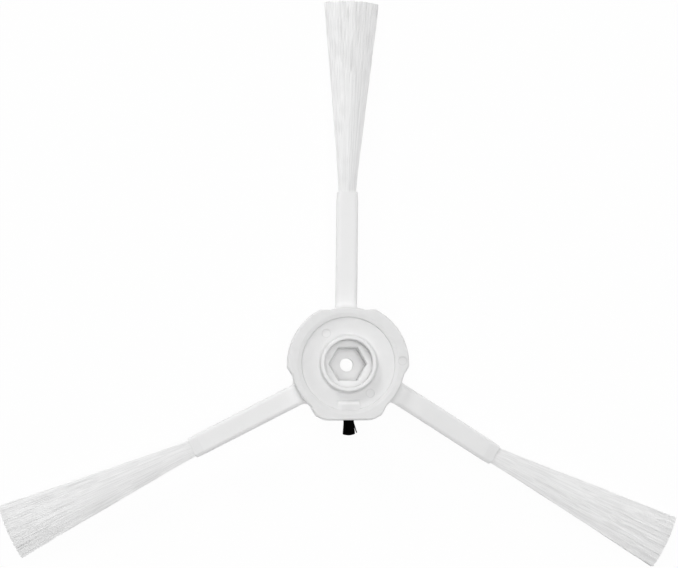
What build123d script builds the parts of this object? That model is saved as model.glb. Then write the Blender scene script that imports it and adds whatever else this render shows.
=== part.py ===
from build123d import *
import os
from math import cos, radians, sin

# Side brush of a robot vacuum. Lengths in millimetres, angles in degrees.
# Z is the drive axis, and z = 0 is the shaft seat, the floor of the hexagon socket.

# Drive socket in the middle of the hub
SOCKET_SIDES = 6
SOCKET_FLATS = 7.6
SOCKET_DEPTH = 4.0
SOCKET_LEAD_IN = 0.3
COLLAR_BORE = 11.3
COLLAR_BORE_DEPTH = 3.2
COLLAR_WALL = 1.0
COLLAR_EDGE = 0.35
SCREW_HOLE = 3.2
SEAT_THICKNESS = 1.6
SCREW_HEAD_BORE = 6.6
SCREW_HEAD_DEPTH = 2.4

# Hub body and its lobed flange
BODY_DIAMETER = 26.5
BODY_DOME = 3.2
RIM_TOP = 5.8
FLANGE_THICKNESS = 3.4
FLANGE_LIP = 0.2
RIM_EDGE = 0.45
LOBE_REACH = 1.0
LOBE_CREST = 66
LOBE_RAMP = 9
LOBE_CORNER = 1.5
RIM_FLAT_REACH = 0.1
RIM_FLAT_CORNER = 4.0

# Dished recess between the collar and the rim
DISH_DIAMETER = 22.1
RIM_FALL = 0.25
DISH_STEP = 0.45
DISH_FALL = 0.6
DISH_EDGE = 0.25
DISH_ROOT = 0.12
COLLAR_ROOT = 0.6

# Ejector pin marks in the recess and on the rim: angle and distance from the axis
PIN_MARK = 2.0
PIN_MARK_DEPTH = 0.2
DISH_PIN_MARKS = ((125.2, 8.9), (306.7, 8.7))
RIM_PIN_MARK = (2.7, 12.85)

# Soft arms, evenly spaced from the first one
FIRST_ARM_ANGLE = 90
ARM_WIDTH = 5.2
ARM_THICKNESS = 2.8
ARM_EDGE = 1.0
ARM_LEVEL = 0.7
ARM_FLARE = 1.6
ARM_BEND_START = 16.5
ARM_BEND_RADIUS = 30.0
ARM_DROOP = 9.0
ARM_STRAIGHT = 18.3
ARM_NOSE = 2.4
ARM_MOUTH_WIDTH = 5.0
ARM_MOUTH_THICKNESS = 2.3
ROOT_NECK_WIDTH = 3.4
ROOT_NECK_LENGTH = 2.6
ROOT_HEAD_WIDTH = 6.4
ROOT_HEAD_LENGTH = 2.0
ROOT_THICKNESS = 1.8

# White bristle tufts
TUFT_ROOT_WIDTH = 4.3
TUFT_ROOT_THICKNESS = 1.7
TUFT_ROOT_DEPTH = 6.0
TUFT_ROOT_SPREAD = 0.3
TUFT_LENGTH = 48.8
TUFT_TIP_WIDTH = 13.2
TUFT_TIP_THICKNESS = 2.6
TUFT_LOCKS = 15
TUFT_EDGE_THINNING = 0.5
LOCK_RELIEF = 0.25

# Set that each soft arm has taken: swing of the arm, then lean of its tuft
ARM_SETS = ((-1.8, -0.7), (-3.3, -2.4), (-2.3, 5.5))

# Short black tuft in the flat of the bottom lobe, with its block and anchor
WIPER_ANGLE = 270
WIPER_HOLE = 2.6
WIPER_LEVEL = 4.0
WIPER_DEPTH = 4.2
WIPER_ROOT_WIDTH = 2.4
WIPER_LENGTH = 3.6
WIPER_TIP_WIDTH = 3.0
WIPER_TIP_THICKNESS = 2.4
WIPER_LOCKS = 5
BLOCK_WIDTH = 5.2
BLOCK_TOP = 5.5
BLOCK_SLOPE = 0.9
ANCHOR_LENGTH = 3.2
ANCHOR_HEIGHT = 1.5
ANCHOR_THICKNESS = 0.35
ANCHOR_FROM_END = 0.7

# Gap between a soft or planted piece and what holds it
FIT = 0.05

# Values that follow from the sizes above
body_radius = BODY_DIAMETER / 2
flange_radius = body_radius + FLANGE_LIP
lobe_radius = flange_radius + LOBE_REACH
flat_distance = body_radius + RIM_FLAT_REACH
flange_bottom = RIM_TOP - FLANGE_THICKNESS
hub_base = -SEAT_THICKNESS - SCREW_HEAD_DEPTH
collar_radius = COLLAR_BORE / 2 + COLLAR_WALL
collar_top = SOCKET_DEPTH + COLLAR_BORE_DEPTH
dish_radius = DISH_DIAMETER / 2
dish_rise = RIM_TOP - RIM_FALL - DISH_STEP
rim_middle = (dish_radius + DISH_EDGE + body_radius - RIM_EDGE) / 2
root_neck_end = body_radius - ROOT_NECK_LENGTH
root_head_end = root_neck_end - ROOT_HEAD_LENGTH
arm_spacing = 360 / len(ARM_SETS)
arm_angles = [FIRST_ARM_ANGLE + arm_spacing * number for number in range(len(ARM_SETS))]
lobe_angles = [angle + arm_spacing / 2 for angle in arm_angles]


def polar(radius, angle):
    """Point at a distance and an angle from the drive axis."""
    return (radius * cos(radians(angle)), radius * sin(radians(angle)))


def bristle_section(plane, width, thickness, locks):
    """Cross-section of a flat tuft: ridged locks of bristles side by side, thinner at both edges."""
    step = width / locks / 2
    relief = 2 * step * LOCK_RELIEF

    def height(number):
        across = number / locks - 1
        ridge = thickness / 2 * (1 - TUFT_EDGE_THINNING * across**2)
        return ridge if number % 2 else ridge - relief

    inner = range(1, 2 * locks)
    upper = [(number * step - width / 2, height(number)) for number in inner]
    lower = [(across, -rise) for across, rise in reversed(upper)]
    with BuildSketch(plane) as section:
        with BuildLine():
            Polyline((-width / 2, 0), *upper, (width / 2, 0), *lower, close=True)
        make_face()
    return section.sketch


def arm_root(plane, gap):
    """Outline of an arm's root inside the hub: a neck with a wider head."""
    neck = ROOT_NECK_WIDTH + 2 * gap
    head = ROOT_HEAD_WIDTH + 2 * gap
    with BuildSketch(plane) as outline:
        with Locations((root_neck_end - gap, 0)):
            Rectangle(ROOT_NECK_LENGTH + 2 * gap, neck, align=(Align.MIN, Align.CENTER))
        with Locations((root_head_end - gap, 0)):
            Rectangle(ROOT_HEAD_LENGTH + 2 * gap, head, align=(Align.MIN, Align.CENTER))
    return outline.sketch


def arm_plane(angle, swing, height):
    """Level plane whose x axis is an arm's middle line, askew about the place where the arm bends."""
    bend = Vector(*polar(ARM_BEND_START, angle), height)
    out = Vector(*polar(1, angle + swing))
    return Plane(bend - out * ARM_BEND_START, x_dir=out, z_dir=(0, 0, 1))


def level_face(part, height):
    """Level flat face of a part at a height."""
    return part.faces().filter_by(Plane.XY).filter_by_position(Axis.Z, height - FIT, height + FIT)[0]


# Rigid hub: lobed flange over a domed body, with the drive socket down its middle
with BuildPart() as hub:
    with BuildSketch(Plane.XY.offset(flange_bottom)) as flange_outline:
        Circle(flange_radius)
        for middle in lobe_angles:
            crest_start = middle - LOBE_CREST / 2
            crest_end = middle + LOBE_CREST / 2
            with BuildLine():
                ThreePointArc(
                    polar(lobe_radius, crest_start),
                    polar(lobe_radius, middle),
                    polar(lobe_radius, crest_end),
                )
                Polyline(
                    polar(lobe_radius, crest_end),
                    polar(flange_radius, crest_end + LOBE_RAMP),
                    (0, 0),
                    polar(flange_radius, crest_start - LOBE_RAMP),
                    polar(lobe_radius, crest_start),
                )
            make_face()
        fillet(flange_outline.vertices(), LOBE_CORNER)
        with Locations(polar(flat_distance, WIPER_ANGLE)):
            Rectangle(2 * lobe_radius, lobe_radius, align=(Align.CENTER, Align.MAX), mode=Mode.SUBTRACT)
        fillet(flange_outline.vertices().group_by(Axis.Y)[0], RIM_FLAT_CORNER)
    extrude(amount=FLANGE_THICKNESS)
    with BuildSketch(Plane.XY) as core_hole:
        Circle(rim_middle)
    extrude(amount=RIM_TOP, mode=Mode.SUBTRACT)

    with BuildSketch(Plane.XZ) as core_section:
        with BuildLine():
            FilletPolyline(
                (SCREW_HOLE / 2, SOCKET_DEPTH),
                (SCREW_HOLE / 2, -SEAT_THICKNESS),
                (SCREW_HEAD_BORE / 2, -SEAT_THICKNESS),
                (SCREW_HEAD_BORE / 2, hub_base),
                (body_radius, hub_base),
                (body_radius, flange_bottom),
                (rim_middle, flange_bottom),
                (rim_middle, RIM_TOP),
                (dish_radius, RIM_TOP - RIM_FALL),
                (dish_radius, dish_rise),
                (collar_radius, dish_rise - DISH_FALL),
                (collar_radius, collar_top),
                (COLLAR_BORE / 2, collar_top),
                (COLLAR_BORE / 2, SOCKET_DEPTH),
                radius=(
                    0, 0, 0, 0, BODY_DOME, 0, 0, 0,
                    DISH_EDGE, DISH_ROOT, COLLAR_ROOT, COLLAR_EDGE, COLLAR_EDGE, 0,
                ),
                close=True,
            )
        make_face()
    revolve(axis=Axis.Z)

    with BuildSketch(Plane.XY) as hexagon:
        RegularPolygon(SOCKET_FLATS / 2, SOCKET_SIDES, major_radius=False)
    extrude(amount=SOCKET_DEPTH, mode=Mode.SUBTRACT)
    chamfer(level_face(hub.part, SOCKET_DEPTH).inner_wires()[0].edges(), SOCKET_LEAD_IN)
    fillet(level_face(hub.part, RIM_TOP).outer_wire().edges(), RIM_EDGE)

    dish_middle = dish_rise - DISH_FALL / 2
    pin_marks = [(mark, dish_middle) for mark in DISH_PIN_MARKS] + [(RIM_PIN_MARK, RIM_TOP)]
    for (angle, distance), level in pin_marks:
        with BuildSketch(Plane.XY.offset(level - PIN_MARK_DEPTH)) as pin_mark:
            with Locations(polar(distance, angle)):
                Circle(PIN_MARK / 2)
        extrude(amount=DISH_STEP, mode=Mode.SUBTRACT)

    # Block over the blind hole of the black tuft, sloped towards the collar
    hole_end = flat_distance - WIPER_DEPTH
    with BuildSketch(Plane.YZ) as block_section:
        with BuildLine():
            Polyline(
                (-dish_radius - DISH_EDGE, BLOCK_TOP),
                (-hole_end, BLOCK_TOP),
                (-hole_end + BLOCK_SLOPE, dish_rise - DISH_FALL),
                (-dish_radius - DISH_EDGE, dish_rise - DISH_FALL),
                close=True,
            )
        make_face()
    extrude(amount=BLOCK_WIDTH / 2, both=True)
    flat_plane = Plane((0, -flat_distance, WIPER_LEVEL), x_dir=(1, 0, 0), z_dir=(0, -1, 0))
    with BuildSketch(flat_plane) as wiper_hole:
        Circle(WIPER_HOLE / 2)
    extrude(amount=-WIPER_DEPTH, mode=Mode.SUBTRACT)
    anchor_plane = flat_plane.offset(ANCHOR_FROM_END - WIPER_DEPTH)
    with BuildSketch(anchor_plane) as anchor_slit:
        Rectangle(ANCHOR_LENGTH + 2 * FIT, ANCHOR_THICKNESS + 2 * FIT)
    extrude(amount=ANCHOR_HEIGHT, mode=Mode.SUBTRACT)

    for angle, (swing, lean) in zip(arm_angles, ARM_SETS):
        pocket_floor = arm_plane(angle, swing, ARM_LEVEL - ROOT_THICKNESS / 2 - FIT)
        extrude(arm_root(pocket_floor, FIT), amount=ROOT_THICKNESS + 2 * FIT, mode=Mode.SUBTRACT)
hub.part.label = "hub"


def make_arm(angle, swing, lean, number):
    """Soft arm and the bristle tuft in its end, both in place on the hub."""
    middle = arm_plane(angle, swing, ARM_LEVEL)
    side_plane = Plane(middle.origin, x_dir=middle.x_dir, z_dir=-middle.y_dir)
    with BuildPart() as arm:
        with BuildSketch(Plane.XY.offset(hub_base)) as wall_outline:
            Circle(body_radius)
        hub_wall = extrude(amount=RIM_TOP - hub_base)
        with BuildLine(side_plane) as spine:
            level_run = Line((collar_radius, 0), (ARM_BEND_START, 0))
            bend = JernArc(level_run @ 1, level_run % 1, ARM_BEND_RADIUS, -ARM_DROOP)
            Line(bend @ 1, bend @ 1 + (bend % 1) * ARM_STRAIGHT)
        across = Plane(spine.line @ 0, x_dir=middle.y_dir, z_dir=spine.line % 0)
        with BuildSketch(across) as strip_section:
            RectangleRounded(ARM_WIDTH, ARM_THICKNESS, ARM_EDGE)
        strip = sweep(path=spine.line)
        fillet(new_edges(hub_wall, strip, combined=arm.part), ARM_FLARE)
        with BuildSketch(Plane.XY.offset(hub_base)) as wall_cut:
            Circle(body_radius + FIT)
        extrude(amount=RIM_TOP - hub_base, mode=Mode.SUBTRACT)
        with BuildSketch(Plane.XY.offset(flange_bottom - FIT)) as lip_cut:
            Circle(flange_radius + FIT)
        extrude(amount=FLANGE_THICKNESS, mode=Mode.SUBTRACT)

        nose_start = Plane(spine.line @ 1, x_dir=across.x_dir, z_dir=spine.line % 1)
        mouth = nose_start.offset(ARM_NOSE)
        with BuildSketch(nose_start) as nose_root:
            RectangleRounded(ARM_WIDTH, ARM_THICKNESS, ARM_EDGE)
        with BuildSketch(mouth) as nose_end:
            RectangleRounded(ARM_MOUTH_WIDTH, ARM_MOUTH_THICKNESS, ARM_EDGE)
        loft()

        root_floor = arm_plane(angle, swing, ARM_LEVEL - ROOT_THICKNESS / 2)
        extrude(arm_root(root_floor, 0), amount=ROOT_THICKNESS)
        with BuildSketch(mouth) as socket_mouth:
            SlotOverall(TUFT_ROOT_WIDTH + 2 * FIT, TUFT_ROOT_THICKNESS + 2 * FIT)
        with BuildSketch(mouth.offset(-TUFT_ROOT_DEPTH - FIT)) as socket_end:
            SlotOverall(
                TUFT_ROOT_WIDTH + TUFT_ROOT_SPREAD + 2 * FIT,
                TUFT_ROOT_THICKNESS + TUFT_ROOT_SPREAD + 2 * FIT,
            )
        loft(mode=Mode.SUBTRACT)
    arm.part.label = f"arm_{number}"

    fan_plane = Plane(mouth.origin, x_dir=mouth.z_dir, z_dir=mouth.y_dir).rotated((0, 0, lean))
    tip = Plane(mouth.origin + fan_plane.x_dir * TUFT_LENGTH, x_dir=fan_plane.y_dir, z_dir=fan_plane.x_dir)
    with BuildPart() as tuft:
        with BuildSketch(mouth.offset(-TUFT_ROOT_DEPTH)) as plug_end:
            SlotOverall(TUFT_ROOT_WIDTH + TUFT_ROOT_SPREAD, TUFT_ROOT_THICKNESS + TUFT_ROOT_SPREAD)
        with BuildSketch(mouth) as plug_mouth:
            SlotOverall(TUFT_ROOT_WIDTH, TUFT_ROOT_THICKNESS)
        loft()
        fan_root = bristle_section(mouth, TUFT_ROOT_WIDTH - FIT, TUFT_ROOT_THICKNESS - FIT, TUFT_LOCKS)
        fan_tip = bristle_section(tip, TUFT_TIP_WIDTH, TUFT_TIP_THICKNESS, TUFT_LOCKS)
        loft(sections=(fan_root, fan_tip), ruled=True)
        with BuildSketch(fan_plane) as sweep_arc:
            Circle(TUFT_LENGTH)
        extrude(amount=ARM_WIDTH, both=True, mode=Mode.INTERSECT)
    tuft.part.label = f"tuft_{number}"
    return arm.part, tuft.part


pieces = [hub.part]
for number, (angle, (swing, lean)) in enumerate(zip(arm_angles, ARM_SETS), start=1):
    pieces.extend(make_arm(angle, swing, lean, number))

# Short black tuft, folded round its anchor in the blind hole
with BuildPart() as wiper_tuft:
    with BuildSketch(flat_plane) as wiper_root:
        Circle(WIPER_HOLE / 2 - FIT)
    extrude(amount=FIT - WIPER_DEPTH)
    wiper_start = bristle_section(flat_plane, WIPER_ROOT_WIDTH, WIPER_TIP_THICKNESS, WIPER_LOCKS)
    wiper_plane = flat_plane.offset(WIPER_LENGTH)
    wiper_tip = bristle_section(wiper_plane, WIPER_TIP_WIDTH, WIPER_TIP_THICKNESS, WIPER_LOCKS)
    loft(sections=(wiper_start, wiper_tip), ruled=True)
    with BuildSketch(anchor_plane) as fold:
        Rectangle(ANCHOR_LENGTH + 2 * FIT, ANCHOR_THICKNESS + 2 * FIT)
    extrude(amount=ANCHOR_HEIGHT, mode=Mode.SUBTRACT)
wiper_tuft.part.label = "wiper_tuft"
pieces.append(wiper_tuft.part)

with BuildPart() as tuft_anchor:
    with BuildSketch(anchor_plane.offset(FIT)) as anchor_outline:
        Rectangle(ANCHOR_LENGTH, ANCHOR_THICKNESS)
    extrude(amount=ANCHOR_HEIGHT - 2 * FIT)
tuft_anchor.part.label = "tuft_anchor"
pieces.append(tuft_anchor.part)

os.makedirs("parts", exist_ok=True)
for piece in pieces:
    export_step(piece, f"parts/{piece.label}.step")
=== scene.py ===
import logging
from dataclasses import dataclass
from enum import Enum
from math import cos, radians, sin
from typing import Any, Optional, Union

import bpy
from mathutils import Matrix, Vector


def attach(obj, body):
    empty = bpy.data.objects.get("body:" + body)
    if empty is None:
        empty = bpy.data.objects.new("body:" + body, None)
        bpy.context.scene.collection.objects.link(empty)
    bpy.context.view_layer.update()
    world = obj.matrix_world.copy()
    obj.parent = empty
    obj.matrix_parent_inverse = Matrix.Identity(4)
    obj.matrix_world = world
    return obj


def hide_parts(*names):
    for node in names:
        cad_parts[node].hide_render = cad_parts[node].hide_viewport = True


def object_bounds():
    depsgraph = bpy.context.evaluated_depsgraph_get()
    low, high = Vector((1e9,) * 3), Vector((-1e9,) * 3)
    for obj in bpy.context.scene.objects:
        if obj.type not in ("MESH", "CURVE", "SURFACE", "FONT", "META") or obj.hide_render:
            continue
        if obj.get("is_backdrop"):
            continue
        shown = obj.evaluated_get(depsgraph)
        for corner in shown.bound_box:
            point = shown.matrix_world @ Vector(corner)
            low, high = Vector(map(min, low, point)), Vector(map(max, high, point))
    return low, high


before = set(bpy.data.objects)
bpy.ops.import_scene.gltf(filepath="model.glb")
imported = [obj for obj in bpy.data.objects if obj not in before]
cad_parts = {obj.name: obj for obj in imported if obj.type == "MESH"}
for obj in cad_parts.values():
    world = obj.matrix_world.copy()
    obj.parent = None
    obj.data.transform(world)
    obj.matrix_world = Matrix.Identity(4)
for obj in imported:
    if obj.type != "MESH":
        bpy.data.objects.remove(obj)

LOG = logging.getLogger("side_brush")
MILLIMETRE = 0.001
WHITE = (1.0, 1.0, 1.0, 1.0)

Triple = tuple[float, float, float]
Number = Union[float, "Signal"]
Inputs = dict[Union[str, int], Any]

# Finer layers of the noise in each finish.
PATCH_DETAIL = 3.0
GRAIN_DETAIL = 4.0
STREAK_DETAIL = 1.0
LINE_DETAIL = 2.0
SPECKLE_DETAIL = 2.0

# Bristles: their mesh, how they stand in a fan and how their normals turn.
BRISTLE_POINTS = 8
BRISTLE_SIDES = 4
STRAY_PLACE = 0.9
EDGE_THINNING = 0.75
LOCK_SHIFT = 0.5
JITTER = 0.03
SWAY_ANGLES = (5.0, 9.0)
SWAY_START = 6.3
UPWARD_RIPPLE = 0.1
FACE_SLOPE = 3.0
FACE_SHIFT = 1.0
SEED_STEP = 17

# One way up and down of a value that swings between 0 and 1.
UP_AND_DOWN = 2.0

LAMP_DISTANCE = 3.5


class Slot(Enum):
    """Material slots of the record."""

    HUB = "hub_plastic"
    ARM = "arm_rubber"
    WHITE_BRISTLE = "white_bristle"
    BLACK_BRISTLE = "black_bristle"
    ANCHOR = "anchor_steel"


class Trait(Enum):
    """Values that each bristle carries into its material or its normals."""

    TINT = "bristle_tint"
    ALONG = "bristle_along"
    LOCK = "bristle_lock"
    FACE = "bristle_face"
    SIDE = "bristle_side"


class Draw(Enum):
    """Random draws for the bristles, by what each adds to the seed."""

    ACROSS = 1
    UPWARD = 2
    LOCK_SHIFT = 3
    JITTER = 4
    LOCK_LIFT = 5
    TRIM = 6
    SWAY = 7
    SWAY_START = 8
    TINT = 9
    LOCK_TINT = 10


class Signal:
    """One output of a node, which takes part in sums and products."""

    def __init__(self, graph: "Graph", socket: bpy.types.NodeSocket) -> None:
        """Keeps the graph that the output belongs to.

        Args:
            graph: the graph that new maths nodes go into.
            socket: the output that carries the value.
        """
        self.graph = graph
        self.socket = socket

    def __add__(self, other: Number) -> "Signal":
        """Sum."""
        return self.graph.maths("ADD", self, other)

    def __radd__(self, other: Number) -> "Signal":
        """Sum with a number first."""
        return self.graph.maths("ADD", other, self)

    def __sub__(self, other: Number) -> "Signal":
        """Difference."""
        return self.graph.maths("SUBTRACT", self, other)

    def __rsub__(self, other: Number) -> "Signal":
        """Difference with a number first."""
        return self.graph.maths("SUBTRACT", other, self)

    def __mul__(self, other: Number) -> "Signal":
        """Product."""
        return self.graph.maths("MULTIPLY", self, other)

    def __rmul__(self, other: Number) -> "Signal":
        """Product with a number first."""
        return self.graph.maths("MULTIPLY", other, self)

    def __truediv__(self, other: Number) -> "Signal":
        """Quotient."""
        return self.graph.maths("DIVIDE", self, other)

    def __rtruediv__(self, other: Number) -> "Signal":
        """Quotient with a number first."""
        return self.graph.maths("DIVIDE", other, self)

    def __pow__(self, other: Number) -> "Signal":
        """Power."""
        return self.graph.maths("POWER", self, other)

    def __rpow__(self, other: Number) -> "Signal":
        """Power of a number."""
        return self.graph.maths("POWER", other, self)


class Graph:
    """A shader or geometry node tree that is being built."""

    def __init__(self, tree: bpy.types.NodeTree) -> None:
        """Keeps the tree that nodes go into.

        Args:
            tree: a shader or geometry node tree.
        """
        self.tree = tree

    def node(
        self,
        kind: str,
        settings: Optional[dict[str, Any]] = None,
        inputs: Optional[Inputs] = None,
    ) -> bpy.types.Node:
        """Adds a node.

        Args:
            kind: the node's type name.
            settings: properties, set before the sockets.
            inputs: values, signals or sockets, by input name or number.

        Returns:
            The new node.
        """
        made = self.tree.nodes.new(kind)
        for name, value in (settings or {}).items():
            setattr(made, name, value)
        for name, value in (inputs or {}).items():
            source = value.socket if isinstance(value, Signal) else value
            if isinstance(source, bpy.types.NodeSocket):
                self.tree.links.new(source, made.inputs[name])
            else:
                made.inputs[name].default_value = source
        return made

    def signal(self, node: bpy.types.Node, output: Union[str, int] = 0) -> Signal:
        """One output of a node as a signal."""
        return Signal(self, node.outputs[output])

    def maths(self, operation: str, first: Number, second: Number = 0.0) -> Signal:
        """One step of arithmetic.

        Args:
            operation: the maths node's operation.
            first: left side.
            second: right side.

        Returns:
            The result.
        """
        made = self.node("ShaderNodeMath", {"operation": operation}, {0: first, 1: second})
        return self.signal(made)


class ShaderGraph(Graph):
    """The shader of a material or of the room."""

    def clamp(self, value: Signal) -> Signal:
        """A value kept between 0 and 1."""
        return self.maths("MINIMUM", self.maths("MAXIMUM", value, 0.0), 1.0)

    def part(self, vector: bpy.types.NodeSocket, axis: str) -> Signal:
        """The X, Y or Z part of a vector."""
        return self.signal(self.node("ShaderNodeSeparateXYZ", inputs={0: vector}), axis)

    def plain_view(self) -> Signal:
        """One for rays that show the background as it is, from the camera, gloss or glass.

        Returns:
            One or nought.
        """
        path = self.node("ShaderNodeLightPath")
        return self.clamp(
            self.signal(path, "Is Camera Ray")
            + self.signal(path, "Is Glossy Ray")
            + self.signal(path, "Is Transmission Ray")
        )


class MaterialGraph(ShaderGraph):
    """The shader of one material."""

    def __init__(self, name: str) -> None:
        """Makes the material with an empty tree.

        Args:
            name: the material's name.
        """
        self.material = bpy.data.materials.new(name)
        self.material.use_nodes = True
        self.material.node_tree.nodes.clear()
        super().__init__(self.material.node_tree)

    def coordinates(self) -> bpy.types.NodeSocket:
        """Places on the piece, in metres."""
        return self.node("ShaderNodeTexCoord").outputs["Object"]

    def noise(self, scale: float, detail: float, stretch: Triple = (1.0, 1.0, 1.0)) -> Signal:
        """Noise in object coordinates, from about 0 to 1.

        Args:
            scale: spots per metre.
            detail: number of finer layers.
            stretch: scale along each axis.

        Returns:
            The noise value.
        """
        scaled = self.node(
            "ShaderNodeMapping", inputs={"Vector": self.coordinates(), "Scale": stretch}
        )
        texture = self.node(
            "ShaderNodeTexNoise",
            inputs={"Vector": scaled.outputs[0], "Scale": scale, "Detail": detail},
        )
        return self.signal(texture)

    def place(self, axis: str) -> Signal:
        """One object coordinate, X, Y or Z."""
        return self.part(self.coordinates(), axis)

    def distance(self, x: float, y: float) -> Signal:
        """Distance from an upright line through a point, in metres.

        Args:
            x: the point's place along X.
            y: the point's place along Y.

        Returns:
            The distance.
        """
        along_x = self.place("X") - x
        along_y = self.place("Y") - y
        return self.maths("SQRT", along_x * along_x + along_y * along_y)

    def ring(self, x: float, y: float, radius: float, width: float) -> Signal:
        """A thin circle, 1 on its line and 0 away from it.

        Args:
            x: its centre along X.
            y: its centre along Y.
            radius: its radius.
            width: how far the line reaches to each side.

        Returns:
            The strength of the line.
        """
        away = self.maths("ABSOLUTE", self.distance(x, y) - radius)
        return self.clamp(1.0 - away / width)

    def band(self, axis: str, start: float, end: float, edge: float) -> Signal:
        """A soft-edged band across the piece, 1 inside and 0 outside.

        Args:
            axis: the axis that it is measured along.
            start: where it starts.
            end: where it ends.
            edge: how far its sides take to fade.

        Returns:
            The strength inside it.
        """
        place = self.place(axis)
        nearest = self.maths("MINIMUM", place - start, end - place)
        return self.clamp(nearest / edge)

    def outside(self, radius: float, width: float) -> Signal:
        """Nought near the drive axis and 1 farther out.

        Args:
            radius: where it starts to rise.
            width: how far it takes to rise.

        Returns:
            The value.
        """
        return self.clamp((self.distance(0.0, 0.0) - radius) / width)

    def trait(self, trait: Trait) -> Signal:
        """A value that each bristle carries."""
        return self.signal(self.node("ShaderNodeAttribute", {"attribute_name": trait.value}), "Fac")

    def swing(self, start: Signal, drift: Signal) -> Signal:
        """A value that goes up to 1 and down to 0 in turn.

        Args:
            start: 0 to 1, spread over one way up and down.
            drift: how far it has gone on from there.

        Returns:
            The value.
        """
        return self.maths("PINGPONG", start * UP_AND_DOWN + drift, 1.0)

    def shade(self, colour: Triple, level: Signal) -> bpy.types.NodeSocket:
        """A colour made lighter or darker by a signal.

        Args:
            colour: red, green and blue.
            level: what the colour is multiplied by.

        Returns:
            The colour's socket.
        """
        parts = {number: level * part for number, part in enumerate(colour)}
        return self.node("ShaderNodeCombineColor", inputs=parts).outputs[0]

    def bump(self, height: Signal, depth: float) -> bpy.types.NodeSocket:
        """A surface normal from a height.

        Args:
            height: 0 to 1.
            depth: metres between them.

        Returns:
            The normal's socket.
        """
        made = self.node(
            "ShaderNodeBump", inputs={"Height": height, "Distance": depth, "Strength": 1.0}
        )
        return made.outputs["Normal"]

    def mix(
        self,
        share: Union[Signal, bpy.types.NodeSocket],
        first: bpy.types.Node,
        second: bpy.types.Node,
    ) -> bpy.types.Node:
        """Two shaders in one.

        Args:
            share: how much of the second one shows.
            first: the shader at 0.
            second: the shader at 1.

        Returns:
            The node of the mixed shader.
        """
        return self.node(
            "ShaderNodeMixShader", inputs={0: share, 1: first.outputs[0], 2: second.outputs[0]}
        )

    def principled(self, inputs: Inputs) -> bpy.types.Node:
        """A principled surface with values for its sockets."""
        return self.node("ShaderNodeBsdfPrincipled", inputs=inputs)

    def finish(self, shader: bpy.types.Node) -> bpy.types.Material:
        """Links a shader to the material's output.

        Args:
            shader: the shader's node.

        Returns:
            The finished material.
        """
        self.node("ShaderNodeOutputMaterial", inputs={"Surface": shader.outputs[0]})
        return self.material


@dataclass(frozen=True, kw_only=True)
class MouldedFinish:
    """Moulded plastic or rubber: faint patches, a fine grain and uneven gloss."""

    name: str
    colour: Triple
    patch: float
    patch_scale: float
    grain_scale: float
    grain_depth: float
    roughness: float
    roughness_spread: float
    scatter: float
    scatter_reach: float

    def tone(self, graph: MaterialGraph, patches: Signal) -> Signal:
        """Brightness over the surface.

        Args:
            graph: the shader that is being built; not used here.
            patches: noise of the faint patches.

        Returns:
            What the colour is multiplied by.
        """
        return 1.0 - (patches - 0.5) * self.patch

    def material(self) -> bpy.types.Material:
        """The finish as a material.

        Returns:
            The material.
        """
        graph = MaterialGraph(self.name)
        patches = graph.noise(self.patch_scale, PATCH_DETAIL)
        grain = graph.noise(self.grain_scale, GRAIN_DETAIL)
        return graph.finish(
            graph.principled(
                {
                    "Base Color": graph.shade(self.colour, self.tone(graph, patches)),
                    "Roughness": self.roughness + (patches + grain - 1.0) * self.roughness_spread,
                    "Normal": graph.bump(grain, self.grain_depth),
                    "Subsurface Weight": self.scatter,
                    "Subsurface Radius": (1.0, 1.0, 1.0),
                    "Subsurface Scale": self.scatter_reach,
                }
            )
        )


@dataclass(frozen=True)
class PinMark:
    """Where an ejector pin has left its dent, in degrees around the drive axis and metres; its
    outline is painted shade.
    """

    angle: float
    distance: float


@dataclass(frozen=True, kw_only=True)
class PaintedLightField:
    """A rectangle of painted highlight or painted shade, lighter or darker than what is round it.
    """

    left: float
    right: float
    near: float
    far: float
    # Above nought it is a painted highlight, below nought painted shade.
    lift: float


@dataclass(frozen=True, kw_only=True)
class HubFinish(MouldedFinish):
    """The hub's plastic, with the pin marks, the block's painted shade and highlight, and a darker
    rim.

    The dark rings round the pin marks are painted shade. They and the block's painted tones are on
    faces above face_level only.
    """

    face_level: float
    marks: tuple[PinMark, ...]
    mark_radius: float
    mark_line: float
    mark_shade: float
    painted_fields: tuple[PaintedLightField, ...]
    rim_start: float
    rim_shade: float
    soft_edge: float

    def tone(self, graph: MaterialGraph, patches: Signal) -> Signal:
        """Brightness over the surface, with the marks, the block and the rim.

        Args:
            graph: the shader that is being built.
            patches: noise of the faint patches.

        Returns:
            What the colour is multiplied by.
        """
        tone = super().tone(graph, patches)
        upper = graph.maths("GREATER_THAN", graph.place("Z"), self.face_level)
        # Painted shade: a dark ring along the edge of each pin's dent.
        for mark in self.marks:
            x = mark.distance * cos(radians(mark.angle))
            y = mark.distance * sin(radians(mark.angle))
            line = graph.ring(x, y, self.mark_radius, self.mark_line)
            tone = tone - line * upper * self.mark_shade
        # Painted highlight and painted shade on the tuft block.
        for painted_field in self.painted_fields:
            inside = graph.band("X", painted_field.left, painted_field.right, self.soft_edge)
            inside = inside * graph.band("Y", painted_field.near, painted_field.far, self.soft_edge)
            tone = tone + inside * upper * painted_field.lift
        return tone - graph.outside(self.rim_start, self.soft_edge) * self.rim_shade


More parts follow.
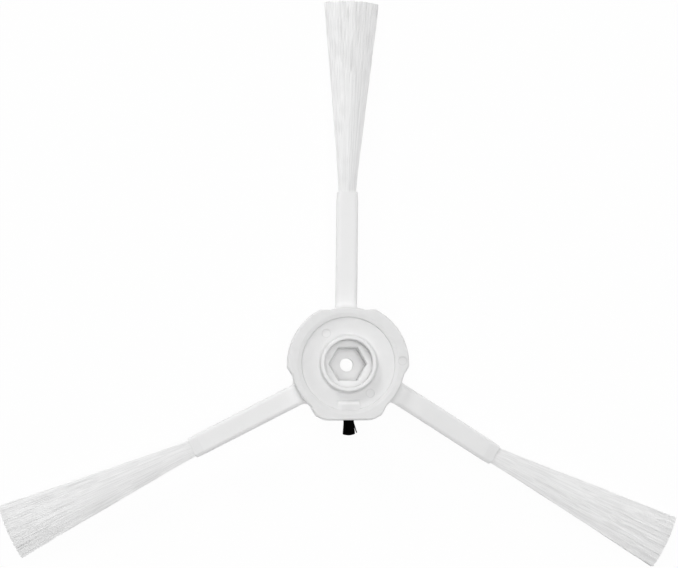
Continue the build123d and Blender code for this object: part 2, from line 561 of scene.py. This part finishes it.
@dataclass(frozen=True, kw_only=True)
class BristleFinish:
    """Nylon filament: every bristle has its own tone, and painted shade makes the root a little
    darker.
    """

    name: str
    colour: Triple
    tone_spread: float
    lock_spread: float
    lock_drift: float
    root_shade: float
    roughness: float
    roughness_spread: float
    gloss: float
    streak_scale: float
    streak_turns: float

    def material(self) -> bpy.types.Material:
        """The finish as a material.

        Returns:
            The material.
        """
        graph = MaterialGraph(self.name)
        drift = graph.noise(self.streak_scale, STREAK_DETAIL) * self.streak_turns
        tint = graph.swing(graph.trait(Trait.TINT), drift)
        lock = graph.swing(graph.trait(Trait.LOCK), drift * self.lock_drift)
        tone = 1.0 - tint * self.tone_spread - lock * self.lock_spread
        # Painted shade, darkest at the root and fading towards the tip.
        root = 1.0 - (1.0 - graph.trait(Trait.ALONG)) * self.root_shade
        return graph.finish(
            graph.principled(
                {
                    "Base Color": graph.shade(self.colour, tone * root),
                    "Roughness": self.roughness + tint * self.roughness_spread,
                    "Specular IOR Level": self.gloss,
                }
            )
        )


@dataclass(frozen=True, kw_only=True)
class MetalFinish:
    """Drawn steel strip with fine lines along its length."""

    name: str
    colour: Triple
    line_scale: float
    line_stretch: Triple
    line_tone: float
    line_depth: float
    roughness: float
    roughness_spread: float

    def material(self) -> bpy.types.Material:
        """The finish as a material.

        Returns:
            The material.
        """
        graph = MaterialGraph(self.name)
        lines = graph.noise(self.line_scale, LINE_DETAIL, self.line_stretch)
        return graph.finish(
            graph.principled(
                {
                    "Base Color": graph.shade(self.colour, 1.0 + (lines - 0.5) * self.line_tone),
                    "Metallic": 1.0,
                    "Roughness": self.roughness + lines * self.roughness_spread,
                    "Normal": graph.bump(lines, self.line_depth),
                }
            )
        )


@dataclass(frozen=True, kw_only=True)
class FloorFinish:
    """White floor: nearly plain white to the camera, with part of the shadow, clear from below."""

    name: str
    colour: Triple
    roughness: float
    speckle_scale: float
    speckle_tone: float
    glow: float

    def material(self) -> bpy.types.Material:
        """The finish as a material.

        Returns:
            The material.
        """
        graph = MaterialGraph(self.name)
        speckle = graph.noise(self.speckle_scale, SPECKLE_DETAIL)
        colour = graph.shade(self.colour, 1.0 + (speckle - 0.5) * self.speckle_tone)
        plain = graph.principled({"Base Color": colour, "Roughness": self.roughness})
        white = graph.node("ShaderNodeEmission", inputs={"Color": WHITE, "Strength": 1.0})
        above = graph.mix(graph.plain_view() * self.glow, plain, white)
        below = graph.node("ShaderNodeNewGeometry").outputs["Backfacing"]
        clear = graph.node("ShaderNodeBsdfTransparent")
        return graph.finish(graph.mix(below, above, clear))


class FanGraph(Graph):
    """The geometry nodes that grow the bristles of one fan."""

    def __init__(self, name: str, sizes: dict[str, Union[int, float]]) -> None:
        """Makes the tree with its named inputs.

        Args:
            name: the tree's name.
            sizes: a whole number or a length or share for each input.
        """
        super().__init__(bpy.data.node_groups.new(name, "GeometryNodeTree"))
        self.declare("Bristles", "OUTPUT", "NodeSocketGeometry")
        for label, value in sizes.items():
            whole = isinstance(value, int)
            self.declare(label, "INPUT", "NodeSocketInt" if whole else "NodeSocketFloat")
        self.declare("Finish", "INPUT", "NodeSocketMaterial")
        self.given = self.node("NodeGroupInput")

    def declare(self, label: str, way: str, kind: str) -> None:
        """Adds an input or output to the tree."""
        self.tree.interface.new_socket(label, in_out=way, socket_type=kind)

    def size(self, label: str) -> Signal:
        """A named input of the tree."""
        return self.signal(self.given, label)

    def chance(self, which: Signal, draw: Draw, low: float, high: float) -> Signal:
        """A random value that stays the same for one bristle or lock.

        Args:
            which: number of the bristle or lock.
            draw: what the value is for, so that each use differs.
            low: smallest value.
            high: largest value.

        Returns:
            The value.
        """
        made = self.node(
            "FunctionNodeRandomValue",
            {"data_type": "FLOAT"},
            {2: low, 3: high, "ID": which, "Seed": self.size("Seed") + float(draw.value)},
        )
        return self.signal(made, 1)

    def root(self, bristle: Signal, stray: Signal) -> tuple[Signal, Signal]:
        """Where a bristle stands in the bundle.

        Args:
            bristle: its number.
            stray: 1 if it stands away from the rest, or 0.

        Returns:
            Its place across the bundle and upward in it, each from -1 to 1.
        """
        within = self.chance(bristle, Draw.ACROSS, -1.0, 1.0)
        across = within + stray * (STRAY_PLACE - within)
        reach = self.maths("SQRT", 1.0 - across * across * EDGE_THINNING)
        return across, self.chance(bristle, Draw.UPWARD, -1.0, 1.0) * reach

    def lock(self, across: Signal) -> Signal:
        """Number of the lock that a place across the bundle belongs to."""
        return self.maths("FLOOR", (across + 1.0) * (self.size("Locks") * 0.5))

    def tip_across(self, bristle: Signal, stray: Signal, across: Signal, lock: Signal) -> Signal:
        """How far across the fan a bristle ends, gathered a little into its lock.

        Args:
            bristle: its number.
            stray: 1 if it stands away from the rest, or 0.
            across: its place across the bundle, from -1 to 1.
            lock: number of its lock.

        Returns:
            The distance from the fan's middle line.
        """
        half_locks = self.size("Locks") * 0.5
        lock_middle = (lock + 0.5) / half_locks - 1.0
        lock_shift = self.chance(lock, Draw.LOCK_SHIFT, -LOCK_SHIFT, LOCK_SHIFT) / half_locks
        gathered = across + (lock_middle + lock_shift - across) * self.size("Gather")
        jitter = self.chance(bristle, Draw.JITTER, -JITTER, JITTER)
        spread = (gathered + jitter) * self.size("Tip Width") * 0.5
        return spread + stray * self.size("Stray Reach")

    def tip_upward(self, upward: Signal, lock: Signal) -> Signal:
        """How far up a bristle ends, with its lock a little higher or lower than the next.

        Args:
            upward: its place upward in the bundle, from -1 to 1.
            lock: number of its lock.

        Returns:
            The distance from the fan's middle plane.
        """
        lift = self.size("Lift")
        lifted = upward * (1.0 - lift) + self.chance(lock, Draw.LOCK_LIFT, -1.0, 1.0) * lift
        return lifted * self.size("Tip Thickness") * 0.5

    def path(
        self, bristle: Signal, across: Signal, upward: Signal, lock: Signal, stray: Signal
    ) -> tuple[bpy.types.Node, Signal]:
        """The line of a bristle, from its sunk root to its trimmed tip.

        Args:
            bristle: its number.
            across: its place across the bundle, from -1 to 1.
            upward: its place upward in the bundle, from -1 to 1.
            lock: number of its lock.
            stray: 1 if it stands away from the rest, or 0.

        Returns:
            The node of the place of each point, and its share of the way from mouth to tip.
        """
        tip_across = self.tip_across(bristle, stray, across, lock)
        tip_upward = self.tip_upward(upward, lock)
        root_across = across * self.size("Root Width") * 0.5
        root_upward = upward * self.size("Root Thickness") * 0.5

        length = self.size("Length")
        sunk = self.size("Sunk")
        along = self.signal(self.node("GeometryNodeSplineParameter"), "Factor")
        trimmed = self.maths("SQRT", length * length - tip_across * tip_across)
        end = trimmed - self.chance(bristle, Draw.TRIM, 0.0, 1.0) * self.size("Uneven")
        forward = along * (end + sunk) - sunk
        share = self.maths("MAXIMUM", forward / end, 0.0)

        bends = self.chance(bristle, Draw.SWAY, *SWAY_ANGLES)
        start = self.chance(bristle, Draw.SWAY_START, 0.0, SWAY_START)
        ripple = self.maths("SINE", along * bends + start) * self.size("Wave") * share
        place = self.node(
            "ShaderNodeCombineXYZ",
            inputs={
                0: forward,
                1: root_across + (tip_across - root_across) * share + ripple,
                2: root_upward + (tip_upward - root_upward) * share + ripple * UPWARD_RIPPLE,
            },
        )
        return place, share

    def grow(self) -> None:
        """Grows the bristles, stores what each carries and gives them their finish."""
        line = self.node("GeometryNodeCurvePrimitiveLine", inputs={"End": (1.0, 0.0, 0.0)})
        steps = self.node(
            "GeometryNodeResampleCurve",
            {"mode": "COUNT"},
            {"Curve": line.outputs[0], "Count": BRISTLE_POINTS},
        )
        copies = self.node(
            "GeometryNodeDuplicateElements",
            {"domain": "SPLINE"},
            {"Geometry": steps.outputs[0], "Amount": self.size("Count")},
        )
        bristle = self.signal(copies, "Duplicate Index")
        stray = self.maths("LESS_THAN", bristle, self.size("Strays"))
        across, upward = self.root(bristle, stray)
        lock = self.lock(across)
        place, share = self.path(bristle, across, upward, lock, stray)
        curves = self.node(
            "GeometryNodeSetPosition",
            inputs={"Geometry": copies.outputs[0], "Position": place.outputs[0]},
        )
        for trait, value in (
            (Trait.TINT, self.chance(bristle, Draw.TINT, 0.0, 1.0)),
            (Trait.LOCK, self.chance(lock, Draw.LOCK_TINT, 0.0, 1.0)),
            (Trait.ALONG, share),
            (Trait.FACE, upward),
            (Trait.SIDE, across),
        ):
            curves = self.node(
                "GeometryNodeStoreNamedAttribute",
                {"data_type": "FLOAT", "domain": "POINT"},
                {"Geometry": curves.outputs[0], "Name": trait.value, "Value": value},
            )
        ring = self.node(
            "GeometryNodeCurvePrimitiveCircle",
            inputs={"Resolution": BRISTLE_SIDES, "Radius": self.size("Radius")},
        )
        tubes = self.node(
            "GeometryNodeCurveToMesh",
            inputs={
                "Curve": curves.outputs[0],
                "Profile Curve": ring.outputs[0],
                "Fill Caps": True,
            },
        )
        real = self.node("GeometryNodeRealizeInstances", inputs={"Geometry": tubes.outputs[0]})
        dressed = self.node(
            "GeometryNodeSetMaterial",
            inputs={"Geometry": real.outputs[0], "Material": self.size("Finish")},
        )
        self.node("NodeGroupOutput", inputs={"Bristles": dressed.outputs[0]})


@dataclass(kw_only=True)
class BristleFan:
    """A bundle of bristles that spreads from a narrow root to a wider tip.

    Lengths are in metres. The fan runs along +X from its mouth, +Y goes across it and +Z is its
    upper face.
    """

    count: int
    locks: int
    root_width: float
    root_thickness: float
    tip_width: float
    tip_thickness: float
    length: float
    sunk: float
    uneven: float
    gather: float
    lift: float
    wave: float
    radius: float
    seed: int
    softness: float = 0.0
    roundness: float = 0.0
    strays: int = 0
    stray_reach: float = 0.0

    def sizes(self) -> dict[str, Union[int, float]]:
        """The fan's sizes by the names of the tree's inputs.

        Returns:
            A value for each input.
        """
        return {
            "Count": self.count,
            "Locks": self.locks,
            "Seed": self.seed,
            "Strays": self.strays,
            "Root Width": self.root_width,
            "Root Thickness": self.root_thickness,
            "Tip Width": self.tip_width,
            "Tip Thickness": self.tip_thickness,
            "Length": self.length,
            "Sunk": self.sunk,
            "Uneven": self.uneven,
            "Gather": self.gather,
            "Lift": self.lift,
            "Wave": self.wave,
            "Radius": self.radius,
            "Stray Reach": self.stray_reach,
        }

    def build(self, name: str, place: Matrix, material: bpy.types.Material) -> bpy.types.Object:
        """Grows the bristles as a plain mesh.

        Args:
            name: the piece's name.
            place: where the fan's mouth is and which way it points.
            material: the bristles' finish.

        Returns:
            An object at the origin that holds the bristles in place.
        """
        graph = FanGraph(name + "_tree", self.sizes())
        graph.grow()
        values = {**self.sizes(), "Finish": material}
        piece = bpy.data.objects.new(name, bpy.data.meshes.new(name + "_start"))
        bpy.context.scene.collection.objects.link(piece)
        grower = piece.modifiers.new("bristles", "NODES")
        grower.node_group = graph.tree
        for item in graph.tree.interface.items_tree:
            if item.in_out == "INPUT":
                grower[item.identifier] = values[item.name]
        piece.update_tag()
        grown = piece.evaluated_get(bpy.context.evaluated_depsgraph_get())
        mesh = bpy.data.meshes.new_from_object(grown)
        piece.modifiers.remove(grower)
        mesh.transform(place)
        mesh.polygons.foreach_set("use_smooth", [True] * len(mesh.polygons))
        self.soften(mesh, place.to_3x3() @ Vector((0.0, 1.0, 0.0)))
        piece.data = mesh
        return piece

    def soften(self, mesh: bpy.types.Mesh, sideways: Vector) -> None:
        """Turns the normals to those of a flat, slightly rounded bundle.

        Light then runs smoothly over the fan. The upper half of the bundle looks up.

        Args:
            mesh: the bristles.
            sideways: which way the fan's left edge looks.
        """
        faces = [0.0] * len(mesh.vertices)
        sides = [0.0] * len(mesh.vertices)
        mesh.attributes[Trait.FACE.value].data.foreach_get("value", faces)
        mesh.attributes[Trait.SIDE.value].data.foreach_get("value", sides)
        up = Vector((0.0, 0.0, 1.0))
        normals = []
        for vertex, face, side in zip(mesh.vertices, faces, sides):
            upward = max(-1.0, min(1.0, FACE_SLOPE * face + FACE_SHIFT))
            bundle = up * upward + sideways * side * self.roundness
            normals.append((vertex.normal + bundle * self.softness).normalized())
        mesh.normals_split_custom_set_from_vertices(normals)


@dataclass
class DriveHub:
    """The rigid hub with its drive socket, and the anchor inside it."""

    finish: HubFinish
    anchor_finish: MetalFinish

    def build(self) -> list[bpy.types.Object]:
        """Dresses the two solids.

        Returns:
            The dressed pieces.
        """
        return [
            dress("hub", self.finish.material()),
            dress("tuft_anchor", self.anchor_finish.material()),
        ]


@dataclass(frozen=True, kw_only=True)
class ArmSet:
    """The set that a soft arm and its tuft have taken.

    Angles are in degrees: around the drive axis, of the arm's sweep and of the tuft's lean.
    Roundness is that of the tuft's light.
    """

    angle: float
    sweep: float
    lean: float
    roundness: float


@dataclass(kw_only=True)
class SweepArm:
    """One soft arm and the bristle tuft in its end, in metres and degrees."""

    number: int
    taken: ArmSet
    level: float
    bend_start: float
    bend_radius: float
    droop: float
    straight: float
    fan: BristleFan

    def mouth(self) -> Matrix:
        """The place where the tuft leaves the arm.

        Returns:
            A matrix whose X axis runs out along the tuft and whose Z axis is its upper face.
        """
        droop = radians(self.droop)
        out = self.bend_start + self.bend_radius * sin(droop) + self.straight * cos(droop)
        down = self.level - self.bend_radius * (1 - cos(droop)) - self.straight * sin(droop)
        turn = Matrix.Rotation(radians(self.taken.angle), 4, "Z")
        bend = Matrix.Translation((self.bend_start, 0.0, 0.0))
        sweep = Matrix.Rotation(radians(self.taken.sweep), 4, "Z")
        reach = Matrix.Translation((out - self.bend_start, 0.0, down))
        slope = Matrix.Rotation(droop, 4, "Y")
        lean = Matrix.Rotation(radians(self.taken.lean), 4, "Z")
        return turn @ bend @ sweep @ reach @ slope @ lean

    def build(
        self, arm_material: bpy.types.Material, bristle_material: bpy.types.Material
    ) -> list[bpy.types.Object]:
        """Dresses the arm and grows its tuft.

        Args:
            arm_material: finish of the arm.
            bristle_material: finish of the bristles.

        Returns:
            The dressed pieces.
        """
        arm = dress(f"arm_{self.number}", arm_material)
        tuft = self.fan.build(f"bristles_{self.number}", self.mouth(), bristle_material)
        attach(tuft, "root")
        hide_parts(f"tuft_{self.number}")
        return [arm, tuft]


@dataclass(kw_only=True)
class WiperTuft:
    """The short black tuft in the rim of the hub."""

    angle: float
    distance: float
    level: float
    fan: BristleFan
    finish: BristleFinish

    def build(self) -> list[bpy.types.Object]:
        """Grows the tuft.

        Returns:
            The tuft, as the only piece.
        """
        turn = Matrix.Rotation(radians(self.angle), 4, "Z")
        place = turn @ Matrix.Translation((self.distance, 0.0, self.level))
        tuft = self.fan.build("wiper_bristles", place, self.finish.material())
        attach(tuft, "root")
        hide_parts("wiper_tuft")
        return [tuft]


@dataclass(frozen=True, kw_only=True)
class SoftLamp:
    """A soft square lamp that points at the hub, in degrees, metres and watts."""

    name: str
    azimuth: float
    elevation: float
    size: float
    power: float

    def build(self) -> None:
        """Adds the lamp to the scene."""
        light = bpy.data.lights.new(self.name, "AREA")
        light.size = self.size
        light.energy = self.power
        turn = Matrix.Rotation(radians(self.azimuth), 3, "Z")
        tilt = Matrix.Rotation(radians(-self.elevation), 3, "Y")
        place = turn @ tilt @ Vector((LAMP_DISTANCE, 0.0, 0.0))
        lamp = bpy.data.objects.new(self.name, light)
        lamp.location = place
        lamp.rotation_euler = (-place).to_track_quat("-Z", "Y").to_euler()
        bpy.context.scene.collection.objects.link(lamp)


@dataclass(frozen=True, kw_only=True)
class OverheadCamera:
    """The camera, which looks down from a little to the left of the drive axis and below it.

    Sensor and lens are in millimetres, distance and aim in metres and the roll in degrees.
    """

    sensor: float
    lens: float
    direction: Triple
    distance: float
    aim: Triple
    roll: float

    def build(self) -> None:
        """Adds the camera to the scene and looks through it."""
        data = bpy.data.cameras.new("camera")
        data.sensor_width = self.sensor
        data.lens = self.lens
        data.dof.use_dof = False
        camera = bpy.data.objects.new("camera", data)
        place = Vector(self.direction).normalized() * self.distance
        ahead = (Vector(self.aim) - place).normalized()
        right = ahead.cross(Vector((0.0, 1.0, 0.0))).normalized()
        up = right.cross(ahead)
        turn = Matrix((right, up, -ahead)).transposed().to_4x4()
        roll = Matrix.Rotation(radians(self.roll), 4, "Z")
        camera.matrix_world = Matrix.Translation(place) @ turn @ roll
        bpy.context.scene.collection.objects.link(camera)
        bpy.context.scene.camera = camera


@dataclass(kw_only=True)
class Studio:
    """White floor, the room's light, soft lamps and the camera."""

    floor_height: float
    floor_half: float
    floor_finish: FloorFinish
    wall_light: float
    wall_fall: float
    lamps: tuple[SoftLamp, ...]
    camera: OverheadCamera

    def build(self) -> None:
        """Makes the floor, the room, the lamps and the camera."""
        self.floor()
        self.room()
        for lamp in self.lamps:
            lamp.build()
        self.camera.build()

    def floor(self) -> None:
        """Makes a wide floor under the brush."""
        mesh = bpy.data.meshes.new("floor")
        half = self.floor_half
        sides = ((-half, -half), (half, -half), (half, half), (-half, half))
        mesh.from_pydata([(x, y, self.floor_height) for x, y in sides], [], [(0, 1, 2, 3)])
        mesh.materials.append(self.floor_finish.material())
        floor = bpy.data.objects.new("floor", mesh)
        bpy.context.scene.collection.objects.link(floor)
        floor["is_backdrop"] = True

    def room(self) -> None:
        """Lights the brush from low walls all round, and shows plain white to the camera."""
        world = bpy.data.worlds.new("room")
        world.use_nodes = True
        world.node_tree.nodes.clear()
        graph = ShaderGraph(world.node_tree)
        look = graph.node("ShaderNodeTexCoord").outputs["Generated"]
        rise = graph.maths("ABSOLUTE", graph.part(look, "Z"))
        light = (1.0 - rise) ** self.wall_fall * self.wall_light
        level = light + graph.plain_view() * (1.0 - light)
        sky = graph.node("ShaderNodeBackground", inputs={"Color": WHITE, "Strength": level})
        graph.node("ShaderNodeOutputWorld", inputs={"Surface": sky.outputs[0]})
        bpy.context.scene.world = world


def dress(name: str, material: bpy.types.Material) -> bpy.types.Object:
    """Gives a solid its finish.

    Args:
        name: a solid of the frame.
        material: its finish.

    Returns:
        The dressed solid.
    """
    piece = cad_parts[name]
    piece.data.materials.clear()
    piece.data.materials.append(material)
    return piece


def report(pieces: list[bpy.types.Object]) -> None:
    """Names each finished piece in the log."""
    for piece in pieces:
        LOG.info("built %s", piece.name)


def corners(box: tuple[Vector, Vector]) -> list[list[float]]:
    """A box as plain lists."""
    return [[float(value) for value in corner] for corner in box]


def drive_hub() -> DriveHub:
    """The hub and its anchor with their finishes.

    Returns:
        The hub, ready to be built.
    """
    return DriveHub(
        finish=HubFinish(
            name="hub white",
            colour=(0.78, 0.78, 0.78),
            patch=0.05,
            patch_scale=500.0,
            grain_scale=3500.0,
            grain_depth=0.012 * MILLIMETRE,
            roughness=0.42,
            roughness_spread=0.12,
            scatter=0.5,
            scatter_reach=0.9 * MILLIMETRE,
            face_level=4.0 * MILLIMETRE,
            marks=(
                PinMark(125.2, 8.9 * MILLIMETRE),
                PinMark(306.7, 8.7 * MILLIMETRE),
                PinMark(2.7, 12.85 * MILLIMETRE),
            ),
            mark_radius=1.0 * MILLIMETRE,
            mark_line=0.15 * MILLIMETRE,
            # Painted shade of the dark ring along each pin dent's edge.
            mark_shade=0.12,
            painted_fields=(
                # Painted shade over the block's face, where the black root lies under its thin top.
                PaintedLightField(
                    left=-1.8 * MILLIMETRE,
                    right=2.6 * MILLIMETRE,
                    near=-11.4 * MILLIMETRE,
                    far=-9.55 * MILLIMETRE,
                    lift=-0.05,
                ),
                # Painted highlight on the block's slope towards the collar.
                PaintedLightField(
                    left=-2.6 * MILLIMETRE,
                    right=2.6 * MILLIMETRE,
                    near=-9.75 * MILLIMETRE,
                    far=-8.6 * MILLIMETRE,
                    lift=0.08,
                ),
            ),
            rim_start=11.9 * MILLIMETRE,
            rim_shade=0.068,
            soft_edge=0.3 * MILLIMETRE,
        ),
        anchor_finish=MetalFinish(
            name="anchor steel",
            colour=(0.6, 0.6, 0.62),
            line_scale=9000.0,
            line_stretch=(0.05, 1.0, 1.0),
            line_tone=0.2,
            line_depth=0.01 * MILLIMETRE,
            roughness=0.35,
            roughness_spread=0.2,
        ),
    )


def arm_white() -> MouldedFinish:
    """The finish of the soft arms.

    Returns:
        The finish.
    """
    return MouldedFinish(
        name="arm white",
        colour=(0.82, 0.82, 0.82),
        patch=0.03,
        patch_scale=300.0,
        grain_scale=2500.0,
        grain_depth=0.01 * MILLIMETRE,
        roughness=0.5,
        roughness_spread=0.1,
        scatter=0.15,
        scatter_reach=0.5 * MILLIMETRE,
    )


def white_nylon() -> BristleFinish:
    """The finish of the white tufts.

    Returns:
        The finish.
    """
    return BristleFinish(
        name="white nylon",
        colour=(0.98, 0.98, 0.98),
        tone_spread=0.15,
        lock_spread=0.035,
        lock_drift=0.3,
        root_shade=0.04,
        roughness=0.5,
        roughness_spread=0.15,
        gloss=0.4,
        streak_scale=150.0,
        streak_turns=3.5,
    )


def black_nylon() -> BristleFinish:
    """The finish of the black tuft.

    Returns:
        The finish.
    """
    return BristleFinish(
        name="black nylon",
        colour=(0.001, 0.001, 0.001),
        tone_spread=0.3,
        lock_spread=0.2,
        lock_drift=0.3,
        root_shade=0.2,
        roughness=0.7,
        roughness_spread=0.15,
        gloss=0.02,
        streak_scale=250.0,
        streak_turns=8.0,
    )


def sweep_arms() -> list[SweepArm]:
    """The three arms with their tufts, alike but for the set that each has taken.

    Returns:
        The arms in the order of their numbers.
    """
    sets = (
        ArmSet(angle=90.0, sweep=-1.8, lean=-0.7, roundness=0.6),
        ArmSet(angle=210.0, sweep=-3.3, lean=-2.4, roundness=0.3),
        ArmSet(angle=330.0, sweep=-2.3, lean=5.5, roundness=0.45),
    )
    return [
        SweepArm(
            number=number,
            taken=taken,
            level=0.7 * MILLIMETRE,
            bend_start=16.5 * MILLIMETRE,
            bend_radius=30.0 * MILLIMETRE,
            droop=9.0,
            straight=20.7 * MILLIMETRE,
            fan=BristleFan(
                count=2400,
                locks=13,
                root_width=3.7 * MILLIMETRE,
                root_thickness=1.5 * MILLIMETRE,
                tip_width=12.8 * MILLIMETRE,
                tip_thickness=2.4 * MILLIMETRE,
                length=48.65 * MILLIMETRE,
                sunk=1.5 * MILLIMETRE,
                uneven=0.35 * MILLIMETRE,
                gather=0.02,
                lift=0.06,
                wave=0.2 * MILLIMETRE,
                radius=0.08 * MILLIMETRE,
                seed=number * SEED_STEP,
                softness=2.5,
                roundness=taken.roundness,
            ),
        )
        for number, taken in enumerate(sets, start=1)
    ]


def wiper_tuft() -> WiperTuft:
    """The black tuft with its finish.

    Returns:
        The tuft, ready to be built.
    """
    return WiperTuft(
        angle=-90.0,
        distance=13.35 * MILLIMETRE,
        level=4.0 * MILLIMETRE,
        fan=BristleFan(
            count=170,
            locks=5,
            root_width=2.3 * MILLIMETRE,
            root_thickness=2.2 * MILLIMETRE,
            tip_width=2.75 * MILLIMETRE,
            tip_thickness=2.3 * MILLIMETRE,
            length=3.55 * MILLIMETRE,
            sunk=1.5 * MILLIMETRE,
            uneven=0.15 * MILLIMETRE,
            gather=0.05,
            lift=0.1,
            wave=0.03 * MILLIMETRE,
            radius=0.09 * MILLIMETRE,
            seed=5,
            strays=2,
            stray_reach=0.7 * MILLIMETRE,
        ),
        finish=black_nylon(),
    )


def studio(floor_height: float) -> Studio:
    """The floor, the light and the camera.

    Args:
        floor_height: the lowest point of the brush.

    Returns:
        The studio, ready to be built.
    """
    return Studio(
        floor_height=floor_height,
        floor_half=3.0,
        floor_finish=FloorFinish(
            name="white floor",
            colour=(0.9, 0.9, 0.9),
            roughness=0.9,
            speckle_scale=400.0,
            speckle_tone=0.02,
            glow=0.96,
        ),
        wall_light=1.57,
        wall_fall=3.0,
        lamps=(
            SoftLamp(name="overhead", azimuth=0.0, elevation=90.0, size=2.1, power=74.5),
            SoftLamp(name="window", azimuth=122.0, elevation=38.0, size=1.3, power=38.0),
            SoftLamp(name="fill", azimuth=30.0, elevation=22.0, size=1.3, power=5.5),
        ),
        camera=OverheadCamera(
            sensor=36.0,
            lens=133.504,
            direction=(-0.0806, -0.0479, 1.0),
            distance=0.6,
            aim=(-1.648 * MILLIMETRE, 19.331 * MILLIMETRE, 0.0),
            roll=-0.487,
        ),
    )


def main() -> None:
    """Builds the brush and its studio in order."""
    logging.basicConfig(level=logging.INFO, format="%(name)s: %(message)s")
    scene = bpy.context.scene
    scene.view_settings.view_transform = "Standard"
    solid_box = corners(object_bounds())

    report(drive_hub().build())
    arm_material = arm_white().material()
    bristle_material = white_nylon().material()
    for arm in sweep_arms():
        report(arm.build(arm_material, bristle_material))
    report(wiper_tuft().build())

    studio(solid_box[0][2]).build()


if __name__ == "__main__":
    main()
